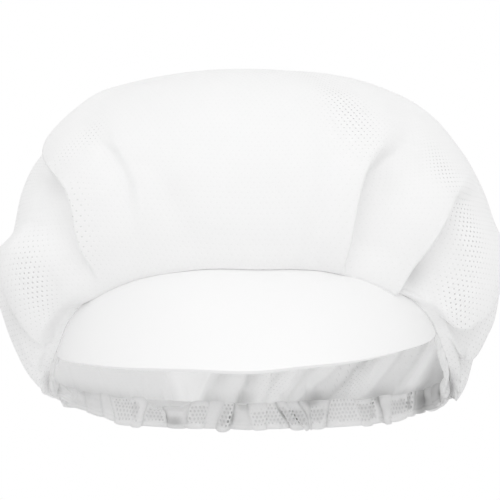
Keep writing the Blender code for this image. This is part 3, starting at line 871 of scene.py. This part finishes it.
def clothLayersAndShade(angles, courses):
    # painted shade in the cloth's colour beside the pleats' edges, at the foot of the nape and in the
    # listed patches, and more light passing through where it is stretched thin
    base = bagPoint(angles, courses)
    reach = np.hypot(base[..., 0], base[..., 1])
    layersAndShade = np.zeros_like(reach)
    for pleat in crownLook["pleats"]:
        wide, half, doublingShade = pleat[3], pleat[4], pleat[6]
        away, span = pleatAway(pleat, angles, courses, reach)
        layersAndShade -= doublingShade * span * overlap(away, half, 1.0, 0.7, wide * 1.2, wide * 1.5)
    atNape = ease(90, 110, np.abs(turned(angles)))
    layersAndShade += crownLook["footShadeLayers"] * atNape * (1 - ease(1.2, 2.0, courses))
    for seam, course, wide, tall, shadeLayers in crownLook["gathered"]:
        layersAndShade += shadeLayers * hump(turned(angles - seam), wide) * hump(courses - course, tall)
    return layersAndShade


def clothMap(angles, courses, columns):
    # where each point lay in the flat cloth: as seen from above at the top, and down the sides by the
    # cloth's own lengths, in four widths that meet in the deep folds
    fine = np.linspace(-180, 180, 721)
    levels = courses[:, 0]
    net = bagPoint(fine[None, :], levels[:, None])
    fromTop = np.linalg.norm(np.diff(net[::-1], axis=0, prepend=bagPoint(fine, 12.0)[None]), axis=-1)
    fromTop = np.cumsum(fromTop, axis=0)[::-1]
    roundIt = np.cumsum(np.linalg.norm(np.diff(net, axis=1, prepend=net[:, :1]), axis=-1), axis=1)
    down = np.stack([np.interp(angles[row], fine, fromTop[row]) for row in range(len(levels))])
    around = np.stack([np.interp(angles[row], fine, roundIt[row]) for row in range(len(levels))])
    base = bagPoint(angles, courses)
    top = (base[..., 0], base[..., 1] - bag["topShift"])
    hang = ease(0.06, 0.15, down)
    maps = []
    for middle in crownLook["sectorMiddles"]:
        turn = math.radians(middle)
        u = around - np.stack([np.interp(middle, fine, row) for row in roundIt])[:, None]
        if middle == 180:
            u = np.where(columns[None, :] > 0, u, u + roundIt[:, -1:])
        flatU = top[0] * math.cos(turn) + top[1] * math.sin(turn)
        flatV = top[0] * -math.sin(turn) + top[1] * math.cos(turn)
        maps.append(np.stack([flatU * (1 - hang) + u * hang, flatV * (1 - hang) - down * hang], axis=-1))
    sector = np.searchsorted(crownLook["sectorEdges"], columns) % len(maps)
    return maps, sector


def makeCrown():
    columns, angles, courses = clothGrid()
    points = crownPoints(angles, courses)
    rows, count = angles.shape
    faces = []
    for row in range(rows - 1):
        for column in range(count):
            beside = (column + 1) % count
            faces.append((row * count + column, row * count + beside,
                          (row + 1) * count + beside, (row + 1) * count + column))
    last, top = (rows - 1) * count, rows * count
    faces += [(last + column, last + (column + 1) % count, top) for column in range(count)]
    everything = np.concatenate([points.reshape(-1, 3), bagPoint(0.0, 12.0)[None]])
    cloth = clothMaterial("knittedMesh", clothLook)
    crown = pieceFrom("crownCloth", everything, faces, "crown", cloth)
    maps, sector = clothMap(angles, courses, columns)
    flat = np.stack([np.concatenate([chart.reshape(-1, 2), [[0, 0]]]) for chart in maps])
    faceOf = np.repeat(np.arange(len(faces)), [len(face) for face in faces])
    giveMap(crown, flat[sector[faceOf % count], cornerPoints(crown)])
    giveValues(crown, "opened", np.append(drawnOpen(angles, courses), crownLook["drawnSides"]))
    giveValues(crown, "layersAndShade", np.append(clothLayersAndShade(angles, courses), 0.0))
    return crown


peakSheet = makePeak()
print("peak made")
hemRuffle = makeHem()
print("hem made:", len(hemRuffle.data.polygons), "faces")
crownCloth = makeCrown()
print("crown made:", len(crownCloth.data.polygons), "faces")

studio = {
    "floor": -0.45,
    "floorSize": 3.6,
    "floorColour": (0.9, 0.9, 0.9),
    "floorRoughness": 0.9,
    "backdrop": 1.0,
    "fill": 0.88,
    "key": 8.0,
    "keyPlace": (0.08, -1.5, 1.0),
    "keySize": 1.2,
    "distance": 1.0,
    "aim": (0, 0, 0.009),
    "pixel": 0.00052,
    "pixels": 500,
    "sensor": 36,
}

bpy.ops.object.select_all(action="DESELECT")
bpy.ops.mesh.primitive_plane_add(size=studio["floorSize"], location=(0, 0, studio["floor"]))
floor = bpy.context.object
floor.name = "paleFloor"
floorPaint = bpy.data.materials.new("palePaint")
floorPaint.use_nodes = True
floorShader = floorPaint.node_tree.nodes["Principled BSDF"]
floorShader.inputs["Base Color"].default_value = (*studio["floorColour"], 1)
floorShader.inputs["Roughness"].default_value = studio["floorRoughness"]
floor.data.materials.append(floorPaint)

# The camera sees a white backdrop, and the same white lights the cap a little less
world = bpy.data.worlds.new("studio")
bpy.context.scene.world = world
world.use_nodes = True
skyNodes, skyLinks = world.node_tree.nodes, world.node_tree.links
fill = skyNodes["Background"]
fill.inputs["Color"].default_value = (1, 1, 1, 1)
fill.inputs["Strength"].default_value = studio["fill"]
backdrop = skyNodes.new("ShaderNodeBackground")
backdrop.inputs["Color"].default_value = (1, 1, 1, 1)
backdrop.inputs["Strength"].default_value = studio["backdrop"]
ray = skyNodes.new("ShaderNodeLightPath")
choice = skyNodes.new("ShaderNodeMixShader")
skyLinks.new(ray.outputs["Is Camera Ray"], choice.inputs["Fac"])
skyLinks.new(fill.outputs[0], choice.inputs[1])
skyLinks.new(backdrop.outputs[0], choice.inputs[2])
skyLinks.new(choice.outputs[0], skyNodes["World Output"].inputs["Surface"])

keyLamp = bpy.data.lights.new("key", "AREA")
keyLamp.size = studio["keySize"]
keyLamp.energy = studio["key"]
keyLight = bpy.data.objects.new("key", keyLamp)
bpy.context.scene.collection.objects.link(keyLight)
keyLight.location = studio["keyPlace"]
keyLight.rotation_euler = (Vector(studio["aim"]) - keyLight.location).to_track_quat("-Z", "Y").to_euler()

lens = bpy.data.cameras.new("view")
lens.sensor_width = studio["sensor"]
lens.lens = studio["sensor"] * studio["distance"] / (studio["pixels"] * studio["pixel"])
viewer = bpy.data.objects.new("view", lens)
bpy.context.scene.collection.objects.link(viewer)
viewer.location = Vector(studio["aim"]) + Vector((0, -studio["distance"], 0))
viewer.rotation_euler = (math.radians(90), 0, 0)
bpy.context.scene.camera = viewer
bpy.context.scene.view_settings.view_transform = "Standard"
print("studio set")
